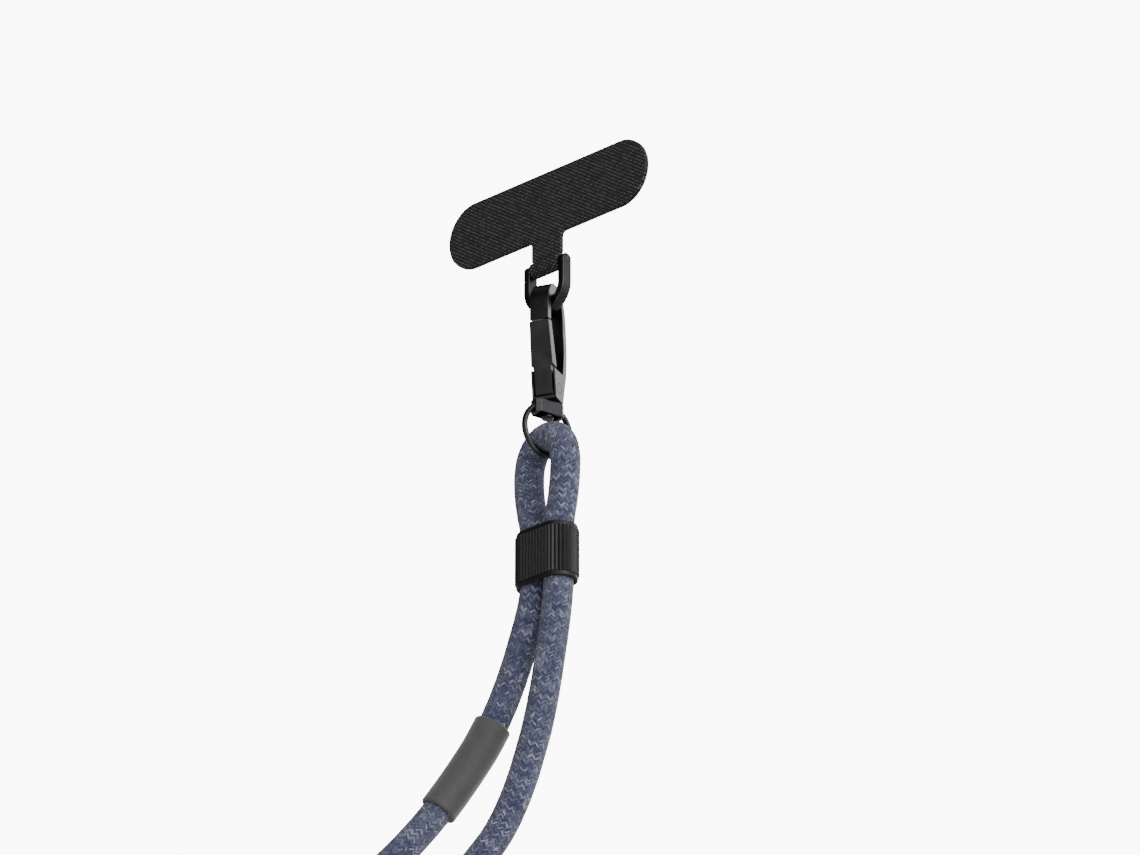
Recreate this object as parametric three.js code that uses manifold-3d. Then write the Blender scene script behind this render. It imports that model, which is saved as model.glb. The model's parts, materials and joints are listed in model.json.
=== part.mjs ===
// Phone crossbody strap: fabric tab, D-ring, snap hook, swivel eye, rope loop, slider and sleeve.
// Millimetres, +Z up. The tab's band lies in the XZ plane with its middle at the origin and its
// outer face towards -Y. Everything else hangs below it.
import * as THREE from 'three';
import { mergeVertices } from 'three/addons/utils/BufferGeometryUtils.js';
import Module from 'manifold-3d';

const wasm = await Module();
wasm.setup();

// Clearances
const looseGap = 0.3; // between pieces that move or lie against each other
const pinGap = 0.12; // round a pin or rivet, on the radius

// Fabric tab
const bandLength = 64;
const bandHeight = 16.7;
const fabricThickness = 1.2;
const foldWall = 1.0; // fabric wrapped round the cross pin
const tongueWidth = 9.3;
const pinDrop = 15.8; // from the band's middle down to the cross pin
const tongueFillet = 1.2;

// Cross pin and D-ring
const crossPinRadius = 0.8;
const ringOuterWidth = 12.8;
const ringBar = 1.8;
const foldWidth = ringOuterWidth - 2 * ringBar - 2 * looseGap; // the tab's fold, between the legs
const ringDepth = 2.8;
const ringDrop = 11.9; // from the cross pin to the outside of the arch
const ringEdge = 0.3; // rounding of the bar's edges

// Snap hook, with depths from its swivel axis and drops below the cross pin
const hookTurn = 22; // degrees about the vertical
const hookTop = 4.9;
const hookLength = 29.75;
const crownThickness = 3.3;
const noseDepth = 5.3;
const noseWall = 2.0;
const backDepth = 6.0;
const backWall = 2.1;
const hookTopWidth = 4.6;
const hookBaseWidth = 6.0;
const hookCorner = 0.5; // rounding of the crown, seen from the front
const baseFront = 1.9;
const baseBack = 2.6;
const baseHeight = 7.2; // the ears, from the hook's bottom
const baseFloor = 0.9;
const noseLength = 10.8; // from the hook's top to the seam with the gate
const seamGap = 0.4;
const seamRise = 0.3; // the seam rises inwards, so that the gate clears the nose as it opens

// Gate
const gatePinRadius = 1.1;
const gatePinRise = 3.05; // above the hook's bottom
const gateEyeRadius = 1.8;
const gateTopWidth = 4.8;
const gateBottomWidth = 5.4;
const gateStemWidth = 4.4;
const gateShoulder = 8.1; // the wide blade ends this far above the hook's bottom
const gateWall = 2.05;

// Swivel rivet
const rivetRadius = 0.75;
const rivetHeadRadius = 1.5;
const rivetTopHeight = 0.33; // the upper head, sunk into the hook's floor
const rivetStickOut = 0.8; // the lower head, below the swivel block

// Swivel eye
const eyeTurn = -10; // degrees about the vertical, direction in which the rope passes
const blockWidth = 3.9;
const blockLength = 8.0;
const blockHeight = 3.35;
const blockRoof = 1.45;
const blockWall = 0.3;
const blockChamfer = 1.0;
const eyeRadius = 7.05;
const eyeDrop = 6.8; // from the block's top to the ring's middle
const eyeWire = 1.35;
const eyeWireDepth = 1.6;
const eyeEdge = 0.35;

// Rope and what is on it
const ropeRadius = 3.5;
const ropeSides = 12;
const ropeStepsPerPoint = 2;
const sliderWall = 0.9;
const sliderHeight = 13.5;
const sliderRim = 1.0;
const sliderRibDepth = 0.3;
const sliderRibs = 46;
const sliderPitch = 7.5; // between the middles of the two legs
const sliderDrop = 73.7; // from the cross pin to the slider's middle
const sleeveWall = 0.6;
const sleeveHalfPoints = 2; // the sleeve covers this many stretches of the route to each side

// The rope's route, from its upper end in the sleeve, up the left leg, through the ring,
// down the right leg and round to its lower end in the sleeve
const ropeRoute = [
  [-16.54, -8.66, -138.89], [-14.15, -6.74, -133.82], [-12.02, -5, -128.37], [-9.5, -2.95, -120.25],
  [-7, -1.4, -111], [-3.85, -0.1, -97.6], [-3.75, 0, -89.5], [-3.85, 0.04, -82.1],
  [-5.5, 0.47, -75.8], [-6.65, 1, -71], [-6.95, 1.22, -66.7], [-5.95, 1.05, -62.95],
  [-3.45, 0.6, -60.4], [0, 0, -59.47], [3.45, -0.6, -60.4], [5.95, -1.05, -62.95],
  [6.95, -1.22, -66.7], [6.65, -1, -71], [5.5, -0.47, -75.8], [3.85, -0.04, -82.1],
  [3.75, 0, -89.5], [3.65, -0.05, -97.6], [2.2, -0.5, -110.5], [-1.8, -2.1, -133.2],
  [-8.8, -5.6, -154.2], [-25, -16.3, -180], [-34, -21, -219], [-17, -10, -262], [-11, 0, -303],
  [-40, 4.5, -333.5], [-94, 5, -338], [-152, 4, -334], [-190, -1, -306], [-199, -12, -262],
  [-170, -27, -222], [-88, -39, -196], [-28.96, -23.27, -163.94], [-21.03, -13.56, -149.11],
  [-18.73, -10.95, -143.94], [-16.7, -8.83, -139.21],
];

// Materials
const fabricMaterial = new THREE.MeshStandardMaterial({ color: 0x242424, roughness: 0.9, metalness: 0 });
const metalMaterial = new THREE.MeshStandardMaterial({ color: 0x2b2b2d, roughness: 0.35, metalness: 0.9 });
const sliderMaterial = new THREE.MeshStandardMaterial({ color: 0x1c1c1c, roughness: 0.6, metalness: 0 });
const sleeveMaterial = new THREE.MeshStandardMaterial({ color: 0x50504e, roughness: 0.8, metalness: 0 });
const ropeMaterial = new THREE.MeshStandardMaterial({ color: 0x4b506e, roughness: 0.95, metalness: 0 });

// Solids from geometries and back
function solid(geometry) {
  const bare = geometry.clone();
  bare.deleteAttribute('normal');
  bare.deleteAttribute('uv');
  const merged = mergeVertices(bare, 1e-4);
  const mesh = new wasm.Mesh({
    numProp: 3,
    vertProperties: new Float32Array(merged.attributes.position.array),
    triVerts: new Uint32Array(merged.index.array),
  });
  return new wasm.Manifold(mesh);
}

function geometryOf(body) {
  const mesh = body.getMesh();
  const geometry = new THREE.BufferGeometry();
  geometry.setAttribute('position', new THREE.BufferAttribute(new Float32Array(mesh.vertProperties), 3));
  geometry.setIndex(new THREE.BufferAttribute(new Uint32Array(mesh.triVerts), 1));
  geometry.computeVertexNormals();
  return geometry;
}

// Extrusions of a flat outline, centred on the direction that they run in
function extrudeAlongZ(shape, length, options = {}) {
  const bevel = options.bevel ?? 0;
  const geometry = new THREE.ExtrudeGeometry(shape, {
    depth: length - 2 * bevel,
    bevelEnabled: bevel > 0,
    bevelThickness: bevel,
    bevelSize: bevel,
    bevelOffset: -bevel,
    bevelSegments: 2,
    curveSegments: options.curveSegments ?? 16,
    steps: 1,
  });
  return geometry.translate(0, 0, bevel - length / 2);
}

// Outline in (y, z), run along X
function extrudeAlongX(shape, length, options) {
  const turn = new THREE.Matrix4().makeBasis(
    new THREE.Vector3(0, 1, 0), new THREE.Vector3(0, 0, 1), new THREE.Vector3(1, 0, 0));
  return extrudeAlongZ(shape, length, options).applyMatrix4(turn);
}

// Outline in (x, z), run along Y
function extrudeAlongY(shape, length, options) {
  const turn = new THREE.Matrix4().makeBasis(
    new THREE.Vector3(1, 0, 0), new THREE.Vector3(0, 0, 1), new THREE.Vector3(0, -1, 0));
  return extrudeAlongZ(shape, length, options).applyMatrix4(turn);
}

function cylinderAlongX(radius, length, sides = 24) {
  return new THREE.CylinderGeometry(radius, radius, length, sides).rotateZ(Math.PI / 2);
}

function cylinderAlongZ(radius, length, sides = 24) {
  return new THREE.CylinderGeometry(radius, radius, length, sides).rotateX(Math.PI / 2);
}

function polygon(points) {
  return new THREE.Shape(points.map(([x, y]) => new THREE.Vector2(x, y)));
}

// A smooth curve through the points, as a list of points of its own
function smooth(points, divisions) {
  const curve = new THREE.SplineCurve(points.map(([x, y]) => new THREE.Vector2(x, y)));
  return curve.getPoints(divisions).map((p) => [p.x, p.y]);
}

function oblong(halfStraight, radius) {
  const shape = new THREE.Shape();
  shape.absarc(halfStraight, 0, radius, -Math.PI / 2, Math.PI / 2, false);
  shape.absarc(-halfStraight, 0, radius, Math.PI / 2, 1.5 * Math.PI, false);
  shape.closePath();
  return shape;
}

function named(name, geometry, material) {
  const mesh = new THREE.Mesh(geometry, material);
  mesh.name = name;
  return mesh;
}

// Fabric band, tongue and the fold round the cross pin
function phoneTab() {
  const foldRadius = crossPinRadius + pinGap + foldWall;
  const endRadius = bandHeight / 2;
  const band = solid(extrudeAlongY(oblong(bandLength / 2 - endRadius, endRadius), fabricThickness));
  const neckTop = -pinDrop + ringDepth / 2 + 2 * looseGap;
  const half = tongueWidth / 2;
  const halfFold = foldWidth / 2;
  const bandEdge = -bandHeight / 2;
  const outline = new THREE.Shape();
  outline.moveTo(-half - tongueFillet, bandEdge + fabricThickness);
  outline.lineTo(-half - tongueFillet, bandEdge);
  outline.absarc(-half - tongueFillet, bandEdge - tongueFillet, tongueFillet, Math.PI / 2, 0, true);
  outline.lineTo(-half, neckTop + half - halfFold);
  outline.lineTo(-halfFold, neckTop);
  outline.lineTo(-halfFold, -pinDrop);
  outline.lineTo(halfFold, -pinDrop);
  outline.lineTo(halfFold, neckTop);
  outline.lineTo(half, neckTop + half - halfFold);
  outline.absarc(half + tongueFillet, bandEdge - tongueFillet, tongueFillet, Math.PI, Math.PI / 2, true);
  outline.lineTo(half + tongueFillet, bandEdge + fabricThickness);
  const tongue = solid(extrudeAlongY(outline, fabricThickness, { curveSegments: 6 }));
  const fold = solid(cylinderAlongX(foldRadius, foldWidth, 32).translate(0, 0, -pinDrop));
  const bore = solid(cylinderAlongX(crossPinRadius + pinGap, foldWidth + 2).translate(0, 0, -pinDrop));
  return named('phone_tab', geometryOf(band.add(tongue).add(fold).subtract(bore)), fabricMaterial);
}

// U-shaped bar with round leg ends that the cross pin goes through
function dRing() {
  const outer = ringOuterWidth / 2;
  const inner = outer - ringBar;
  const archZ = outer - ringDrop;
  const legTop = ringDepth / 2;
  const u = new THREE.Shape();
  u.moveTo(-outer, legTop);
  u.lineTo(-outer, archZ);
  u.absarc(0, archZ, outer, Math.PI, 2 * Math.PI, false);
  u.lineTo(outer, legTop);
  u.lineTo(inner, legTop);
  u.lineTo(inner, archZ);
  u.absarc(0, archZ, inner, 0, -Math.PI, true);
  u.lineTo(-inner, legTop);
  u.closePath();
  const bar = solid(extrudeAlongY(u, ringDepth, { bevel: ringEdge }));
  const side = new THREE.Shape();
  side.moveTo(-ringDepth / 2, -ringDrop - 1);
  side.lineTo(ringDepth / 2, -ringDrop - 1);
  side.lineTo(ringDepth / 2, 0);
  side.absarc(0, 0, ringDepth / 2, 0, Math.PI, false);
  const roundEnds = solid(extrudeAlongX(side, ringOuterWidth + 2));
  const bore = solid(cylinderAlongX(crossPinRadius + pinGap, ringOuterWidth + 2));
  return named('d_ring', geometryOf(bar.intersect(roundEnds).subtract(bore)), metalMaterial);
}

// Hook body: side outline in (depth, height) below the cross pin, narrowed by its front outline
const hookBottom = -(hookTop + hookLength);
const seamZ = -(hookTop + noseLength);
const earTop = hookBottom + baseHeight;
const gatePinZ = hookBottom + gatePinRise;
const gatePinDepth = 0.1;

function hookBody() {
  const back = backDepth - backWall;
  const nose = noseWall - noseDepth;
  const drop = (share) => -hookTop - share * hookLength;
  const crownInside = -(hookTop + crownThickness);
  const outerBack = smooth([
    [-noseDepth, seamZ + noseLength * 0.43], [-noseDepth * 0.92, drop(0.134)],
    [-noseDepth * 0.55, drop(0.044)], [backDepth * 0.05, -hookTop], [backDepth * 0.53, drop(0.05)],
    [backDepth * 0.87, drop(0.185)], [backDepth, drop(0.36)], [backDepth * 0.96, drop(0.524)],
    [backDepth * 0.82, drop(0.682)], [baseBack + 1.1, drop(0.844)], [baseBack, hookBottom],
  ], 44);
  const innerBack = smooth([
    [back * 0.56, earTop], [back * 0.82, drop(0.625)], [back * 0.99, drop(0.508)], [back, drop(0.36)],
    [back * 0.92, drop(0.232)], [back * 0.74, crownInside - 1.0], [back * 0.33, crownInside],
    [nose * 0.39, crownInside], [nose * 0.85, crownInside - 0.9], [nose, drop(0.225)],
  ], 36);
  const side = polygon([
    [-noseDepth, seamZ], ...outerBack, [-baseFront, hookBottom], [-baseFront - 1.0, earTop], ...innerBack,
    [nose, seamZ + seamRise],
  ]);
  const body = solid(extrudeAlongX(side, hookBaseWidth + 2));
  const top = hookTopWidth / 2;
  const base = hookBaseWidth / 2;
  const corner = hookCorner;
  const front = polygon([
    [-base, hookBottom], [base, hookBottom], [base, earTop], [top, seamZ], [top, -hookTop - 2 * corner],
    [top - 0.3 * corner, -hookTop - corner], [top - corner, -hookTop - 0.3 * corner],
    [top - 2 * corner, -hookTop + corner],
    [2 * corner - top, -hookTop + corner], [corner - top, -hookTop - 0.3 * corner],
    [0.3 * corner - top, -hookTop - corner], [-top, -hookTop - 2 * corner], [-top, seamZ], [-base, earTop],
  ]);
  const frontCut = solid(extrudeAlongY(front, 4 * backDepth));
  const pocketDepth = noseDepth + gatePinDepth + gateEyeRadius + pinGap;
  const pocketHeight = baseHeight - baseFloor + 1;
  const pocket = solid(new THREE.BoxGeometry(gateStemWidth + 2 * looseGap, pocketDepth, pocketHeight).translate(
    0, gatePinDepth + gateEyeRadius + pinGap - pocketDepth / 2, hookBottom + baseFloor + pocketHeight / 2));
  const pinBore = solid(cylinderAlongX(gatePinRadius + pinGap, hookBaseWidth + 2)
    .translate(0, gatePinDepth, gatePinZ));
  const rivetBore = solid(cylinderAlongZ(rivetRadius + pinGap, 2 * baseFloor + 2).translate(0, 0, hookBottom));
  const rivetSeat = solid(cylinderAlongZ(rivetHeadRadius + pinGap, 2 * (rivetTopHeight + pinGap))
    .translate(0, 0, hookBottom + baseFloor));
  const cut = body.intersect(frontCut).subtract(pocket).subtract(pinBore).subtract(rivetBore).subtract(rivetSeat);
  return named('hook_body', geometryOf(cut), metalMaterial);
}

// Gate: a blade that closes the hook's mouth, on a narrower stem between the ears
function hookGate() {
  const bladeTop = seamZ - seamGap;
  const bladeBottom = hookBottom + gateShoulder;
  const stemBottom = gatePinZ - gateEyeRadius;
  const side = new THREE.Shape();
  side.moveTo(-noseDepth, bladeTop);
  side.lineTo(-3.5, bladeBottom);
  side.lineTo(-baseFront, stemBottom + 0.4);
  side.lineTo(-baseFront + 0.4, stemBottom);
  side.absarc(gatePinDepth, gatePinZ, gateEyeRadius, -Math.PI / 2, Math.PI * 0.3, false);
  side.lineTo(-0.75, bladeBottom);
  side.lineTo(-noseDepth + gateWall, bladeTop + seamRise);
  const blade = solid(extrudeAlongX(side, gateBottomWidth + 2));
  const top = gateTopWidth / 2;
  const wide = gateBottomWidth / 2;
  const stem = gateStemWidth / 2;
  const front = polygon([
    [-top, bladeTop + 1], [-top, bladeTop], [-wide, bladeBottom], [-stem, bladeBottom - 0.3],
    [-stem, stemBottom - 1], [stem, stemBottom - 1], [stem, bladeBottom - 0.3], [wide, bladeBottom],
    [top, bladeTop], [top, bladeTop + 1],
  ]);
  const frontCut = solid(extrudeAlongY(front, 4 * backDepth));
  const pinBore = solid(cylinderAlongX(gatePinRadius + pinGap, gateBottomWidth + 4)
    .translate(0, gatePinDepth, gatePinZ));
  return named('hook_gate', geometryOf(blade.intersect(frontCut).subtract(pinBore)), metalMaterial);
}

function gatePin() {
  const geometry = cylinderAlongX(gatePinRadius, hookBaseWidth).translate(0, gatePinDepth, gatePinZ);
  return named('gate_pin', geometryOf(solid(geometry)), metalMaterial);
}

// Rivet: a flat head on the hook's floor, a shaft, and a mushroom head under the swivel block
const blockTop = hookBottom - looseGap;
const blockBottom = blockTop - blockHeight;

function swivelRivet() {
  const upperHead = hookBottom + baseFloor;
  const headTop = blockTop - blockRoof - pinGap;
  const headBottom = blockBottom - rivetStickOut;
  const profile = [
    [0, headBottom], [rivetHeadRadius - 0.35, headBottom], [rivetHeadRadius, headBottom + 0.4],
    [rivetHeadRadius - 0.1, headTop - 0.15], [rivetHeadRadius - 0.4, headTop], [rivetRadius, headTop],
    [rivetRadius, upperHead - rivetTopHeight], [rivetHeadRadius, upperHead - rivetTopHeight],
    [rivetHeadRadius, upperHead], [0, upperHead],
  ].map(([x, y]) => new THREE.Vector2(x, y));
  const geometry = new THREE.LatheGeometry(profile, 24).rotateX(Math.PI / 2);
  return named('swivel_rivet', geometryOf(solid(geometry)), metalMaterial);
}

// Swivel eye: a block hollow underneath and a round ring, cast in one
function swivelEye() {
  const ringZ = blockTop - eyeDrop;
  const outer = eyeRadius;
  const inner = eyeRadius - eyeWire;
  const half = eyeWireDepth / 2;
  const section = [
    [inner, -half + eyeEdge], [inner + eyeEdge, -half], [outer - eyeEdge, -half], [outer, -half + eyeEdge],
    [outer, half - eyeEdge], [outer - eyeEdge, half], [inner + eyeEdge, half], [inner, half - eyeEdge],
    [inner, -half + eyeEdge],
  ].map(([x, y]) => new THREE.Vector2(x, y));
  const ring = solid(new THREE.LatheGeometry(section, 48).rotateZ(Math.PI / 2).translate(0, 0, ringZ));
  const x = blockWidth / 2;
  const y = blockLength / 2;
  const c = blockChamfer;
  const plan = polygon([
    [-x + c, -y], [x - c, -y], [x, -y + c], [x, y - c], [x - c, y], [-x + c, y], [-x, y - c], [-x, -y + c],
  ]);
  const block = solid(extrudeAlongZ(plan, blockHeight).translate(0, 0, blockTop - blockHeight / 2));
  const above = solid(new THREE.BoxGeometry(2 * eyeRadius, 2 * eyeRadius, eyeRadius)
    .translate(0, 0, blockTop + eyeRadius / 2));
  const hollowHeight = blockHeight - blockRoof + 1;
  const hollow = solid(new THREE.BoxGeometry(blockWidth - 2 * blockWall, blockLength - 2 * c, hollowHeight)
    .translate(0, 0, blockTop - blockRoof - hollowHeight / 2));
  const bore = solid(cylinderAlongZ(rivetRadius + pinGap, 2 * blockHeight).translate(0, 0, blockTop));
  return named('swivel_eye', geometryOf(block.add(ring.subtract(above)).subtract(hollow).subtract(bore)),
    metalMaterial);
}

// A curve whose steps follow its chosen points, which lie closest together at the tight bend
class RouteCurve extends THREE.CatmullRomCurve3 {
  getUtoTmapping(u) {
    return u;
  }
}

function circleShape(radius, sides) {
  const points = [];
  for (let i = 0; i < sides; i += 1) {
    const angle = (2 * Math.PI * i) / sides;
    points.push([radius * Math.cos(angle), radius * Math.sin(angle)]);
  }
  return polygon(points);
}

function tubeAlong(shape, points, stepsPerPoint) {
  const curve = new RouteCurve(points.map(([x, y, z]) => new THREE.Vector3(x, y, z)), false, 'centripetal');
  return new THREE.ExtrudeGeometry(shape, {
    steps: (points.length - 1) * stepsPerPoint,
    extrudePath: curve,
    bevelEnabled: false,
  });
}

function rope() {
  const geometry = tubeAlong(circleShape(ropeRadius, ropeSides), ropeRoute, ropeStepsPerPoint);
  return named('rope', geometryOf(solid(geometry)), ropeMaterial);
}

// Dark sleeve along the stretch of the route where the rope's ends meet
function ropeSleeve() {
  const inner = ropeRadius + looseGap;
  const shape = circleShape(inner + sleeveWall, 24);
  shape.holes.push(circleShape(inner, 24));
  const above = ropeRoute.slice(0, sleeveHalfPoints + 1).reverse();
  const below = ropeRoute.slice(-sleeveHalfPoints - 1, -1).reverse();
  return named('rope_sleeve', geometryOf(solid(tubeAlong(shape, [...above, ...below], 3))), sleeveMaterial);
}

// Ribbed slider round both legs
function ropeSlider() {
  const inner = ropeRadius + looseGap;
  const outer = inner + sliderWall;
  const straight = sliderPitch / 2;
  const perimeter = 4 * straight + 2 * Math.PI * outer;
  const base = oblong(straight, outer - sliderRibDepth);
  const walls = solid(extrudeAlongZ(base, sliderHeight));
  const points = [];
  for (let i = 0; i < sliderRibs * 4; i += 1) {
    const along = (perimeter * i) / (sliderRibs * 4);
    const grow = i % 4 < 2 ? 0 : sliderRibDepth;
    points.push(oblongPoint(straight, outer, along, grow - sliderRibDepth));
  }
  const ribbed = solid(extrudeAlongZ(polygon(points), sliderHeight - 2 * sliderRim));
  const hole = solid(extrudeAlongZ(oblong(straight, inner), sliderHeight + 2));
  const mesh = named('rope_slider', geometryOf(walls.add(ribbed).subtract(hole)), sliderMaterial);
  mesh.position.z = -sliderDrop;
  return mesh;
}

// A point of an oblong's outline, a given way along it and standing proud by a given length
function oblongPoint(straight, radius, along, proud) {
  const side = 2 * straight;
  const turn = Math.PI * radius;
  if (along < turn) {
    const angle = -Math.PI / 2 + along / radius;
    return [straight + (radius + proud) * Math.cos(angle), (radius + proud) * Math.sin(angle)];
  }
  if (along < turn + side) {
    return [straight - (along - turn), radius + proud];
  }
  if (along < 2 * turn + side) {
    const angle = Math.PI / 2 + (along - turn - side) / radius;
    return [-straight + (radius + proud) * Math.cos(angle), (radius + proud) * Math.sin(angle)];
  }
  return [-straight + (along - 2 * turn - side), -radius - proud];
}

// Assembly
const strap = new THREE.Group();
const shackle = new THREE.Group();
shackle.position.z = -pinDrop;
const hook = new THREE.Group();
hook.rotation.z = THREE.MathUtils.degToRad(hookTurn);
const eye = new THREE.Group();
eye.rotation.z = THREE.MathUtils.degToRad(eyeTurn);

const crossPin = named('cross_pin', geometryOf(solid(cylinderAlongX(crossPinRadius, ringOuterWidth))),
  metalMaterial);

hook.add(hookBody(), hookGate(), gatePin(), swivelRivet());
eye.add(swivelEye());
shackle.add(dRing(), crossPin, hook, eye, ropeSlider());
strap.add(phoneTab(), shackle, rope(), ropeSleeve());

export default strap;
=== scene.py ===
# %% [markdown]
# # A rope strap for a phone, one piece at a time
# The strap hangs from a flat fabric tab. A D-ring, a snap hook and a swivel eye carry a loop of
# braided rope. Each cell below makes one piece, says what it is on the real strap and why it is
# made that way. Lengths are in metres, and every piece is made where the solids of the frame are.

import json
import math
from bisect import bisect_right

import bpy
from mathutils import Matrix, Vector, noise

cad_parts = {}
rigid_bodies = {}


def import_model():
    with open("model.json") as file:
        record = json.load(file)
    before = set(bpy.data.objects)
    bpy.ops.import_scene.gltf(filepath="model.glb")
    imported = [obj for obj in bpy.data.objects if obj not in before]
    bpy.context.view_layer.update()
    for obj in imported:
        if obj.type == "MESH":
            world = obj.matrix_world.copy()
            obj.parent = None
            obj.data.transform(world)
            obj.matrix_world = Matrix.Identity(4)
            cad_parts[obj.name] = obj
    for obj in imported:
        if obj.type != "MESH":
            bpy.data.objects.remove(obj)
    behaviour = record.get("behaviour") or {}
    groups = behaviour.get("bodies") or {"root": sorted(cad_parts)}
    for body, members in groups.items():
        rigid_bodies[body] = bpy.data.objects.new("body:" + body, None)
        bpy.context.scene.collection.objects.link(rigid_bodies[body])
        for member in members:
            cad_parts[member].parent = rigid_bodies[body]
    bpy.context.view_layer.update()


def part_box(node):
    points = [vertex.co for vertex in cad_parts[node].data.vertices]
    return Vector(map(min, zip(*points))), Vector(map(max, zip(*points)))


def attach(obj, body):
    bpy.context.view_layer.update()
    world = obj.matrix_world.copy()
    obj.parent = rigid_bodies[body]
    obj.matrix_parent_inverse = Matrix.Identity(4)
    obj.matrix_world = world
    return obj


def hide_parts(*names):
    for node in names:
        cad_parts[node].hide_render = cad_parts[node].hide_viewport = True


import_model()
MM = 0.001


# %% [markdown]
# ## The camera comes first
# The picture is taken from below and from the right, with a long lens, so that parallel edges stay
# parallel. The middle of the cross pin is a sharp point in the picture, so the view is placed by it.
# A short lens nearer by would give the same size but would bend the tall legs of the strap.

# %% Place the camera by the cross pin
PICTURE_SIZE = (1140, 855)
PIXELS_PER_METRE = 4300.0
CAMERA_TURN = math.radians(44)
CAMERA_RISE = math.radians(-24)
CROSS_PIN_PIXEL = (547.5, 266.3)
LENS_MM = 200
SENSOR_MM = 36
CLIP_NEAR = 0.05
CLIP_FAR = 20


def middle(node):
    low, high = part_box(node)
    return (Vector(low) + Vector(high)) / 2


cross_pin_middle = middle("cross_pin")
view_right = Vector((math.cos(CAMERA_TURN), math.sin(CAMERA_TURN), 0))
view_back = Vector((
    math.sin(CAMERA_TURN) * math.cos(CAMERA_RISE),
    -math.cos(CAMERA_TURN) * math.cos(CAMERA_RISE),
    math.sin(CAMERA_RISE),
))
view_up = view_back.cross(view_right)
across = (PICTURE_SIZE[0] / 2 - CROSS_PIN_PIXEL[0]) / PIXELS_PER_METRE
down = (PICTURE_SIZE[1] / 2 - CROSS_PIN_PIXEL[1]) / PIXELS_PER_METRE
view_target = cross_pin_middle + across * view_right - down * view_up
view_distance = PICTURE_SIZE[0] / PIXELS_PER_METRE * LENS_MM / SENSOR_MM

bpy.ops.object.camera_add(location=view_target + view_distance * view_back)
camera = bpy.context.object
camera.name = "camera"
camera.data.lens = LENS_MM
camera.data.sensor_width = SENSOR_MM
camera.data.clip_start = CLIP_NEAR
camera.data.clip_end = CLIP_FAR
camera.rotation_euler = view_back.to_track_quat("Z", "Y").to_euler()
bpy.context.scene.camera = camera
print("camera distance:", round(view_distance, 3))


# %% [markdown]
# ## The route of the rope
# The rope is one closed loop whose ends meet inside a dark sleeve. It runs up the left leg, over
# the swivel ring, down the right leg and round below. The chosen points are joined by a centripetal
# Catmull-Rom curve, which passes through each of them and never overshoots at the tight bend.

# %% Points of the rope's route and the curve through them
ROPE_DIAMETER = 0.007
ROUTE = [Vector(point) for point in (
    (-0.01654, -0.00866, -0.13889), (-0.01415, -0.00674, -0.13382), (-0.01202, -0.005, -0.12837),
    (-0.0095, -0.00295, -0.12025), (-0.007, -0.0014, -0.111), (-0.00385, -0.0001, -0.0976),
    (-0.00375, 0, -0.0895), (-0.00385, 0.00004, -0.0821), (-0.0055, 0.00047, -0.0758),
    (-0.00665, 0.001, -0.071), (-0.00695, 0.00122, -0.0667), (-0.00595, 0.00105, -0.06295),
    (-0.00345, 0.0006, -0.0604), (0, 0, -0.05947), (0.00345, -0.0006, -0.0604),
    (0.00595, -0.00105, -0.06295), (0.00695, -0.00122, -0.0667), (0.00665, -0.001, -0.071),
    (0.0055, -0.00047, -0.0758), (0.00385, -0.00004, -0.0821), (0.00375, 0, -0.0895),
    (0.00365, -0.00005, -0.0976), (0.0022, -0.0005, -0.1105), (-0.0018, -0.0021, -0.1332),
    (-0.0088, -0.0056, -0.1542), (-0.025, -0.0163, -0.18), (-0.034, -0.021, -0.219),
    (-0.017, -0.01, -0.262), (-0.011, 0, -0.303), (-0.04, 0.0045, -0.3335),
    (-0.094, 0.005, -0.338), (-0.152, 0.004, -0.334), (-0.19, -0.001, -0.306),
    (-0.199, -0.012, -0.262), (-0.17, -0.027, -0.222), (-0.088, -0.039, -0.196),
    (-0.02896, -0.02327, -0.16394), (-0.02103, -0.01356, -0.14911),
    (-0.01873, -0.01095, -0.14394), (-0.0167, -0.00883, -0.13921),
)]
FINE_STEPS = 24


def curve_stretch(before, start, end, after, share, power):
    """A point between start and end. power is 0.5 for a centripetal curve and 0 for a plain one."""
    first = (start - before).length ** power
    second = (end - start).length ** power
    third = (after - end).length ** power
    leave = (end - start) + second * ((start - before) / first - (end - before) / (first + second))
    arrive = (end - start) + second * ((after - end) / third - (after - start) / (second + third))
    if power == 0:
        leave, arrive = (end - before) / 2, (after - start) / 2
    cubic = 2 * (start - end) + leave + arrive
    square = 3 * (end - start) - 2 * leave - arrive
    return ((cubic * share + square) * share + leave) * share + start


def curve_points(points, steps, power=0.5):
    """Points along a smooth curve through all the given points."""
    ends = [2 * points[0] - points[1], *points, 2 * points[-1] - points[-2]]
    if power == 0:
        ends[0], ends[-1] = points[0], points[-1]
    result = []
    for index in range(len(points) - 1):
        for step in range(steps):
            result.append(curve_stretch(*ends[index:index + 4], step / steps, power))
    return result + [points[-1]]


rope_points = curve_points(ROUTE, FINE_STEPS)
print("points along the rope:", len(rope_points))


# %% [markdown]
# A tube needs a direction across the line at each point. Turning the last direction just enough to
# stay square to the line keeps the braid from twisting, which a fixed up direction would do.

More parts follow.
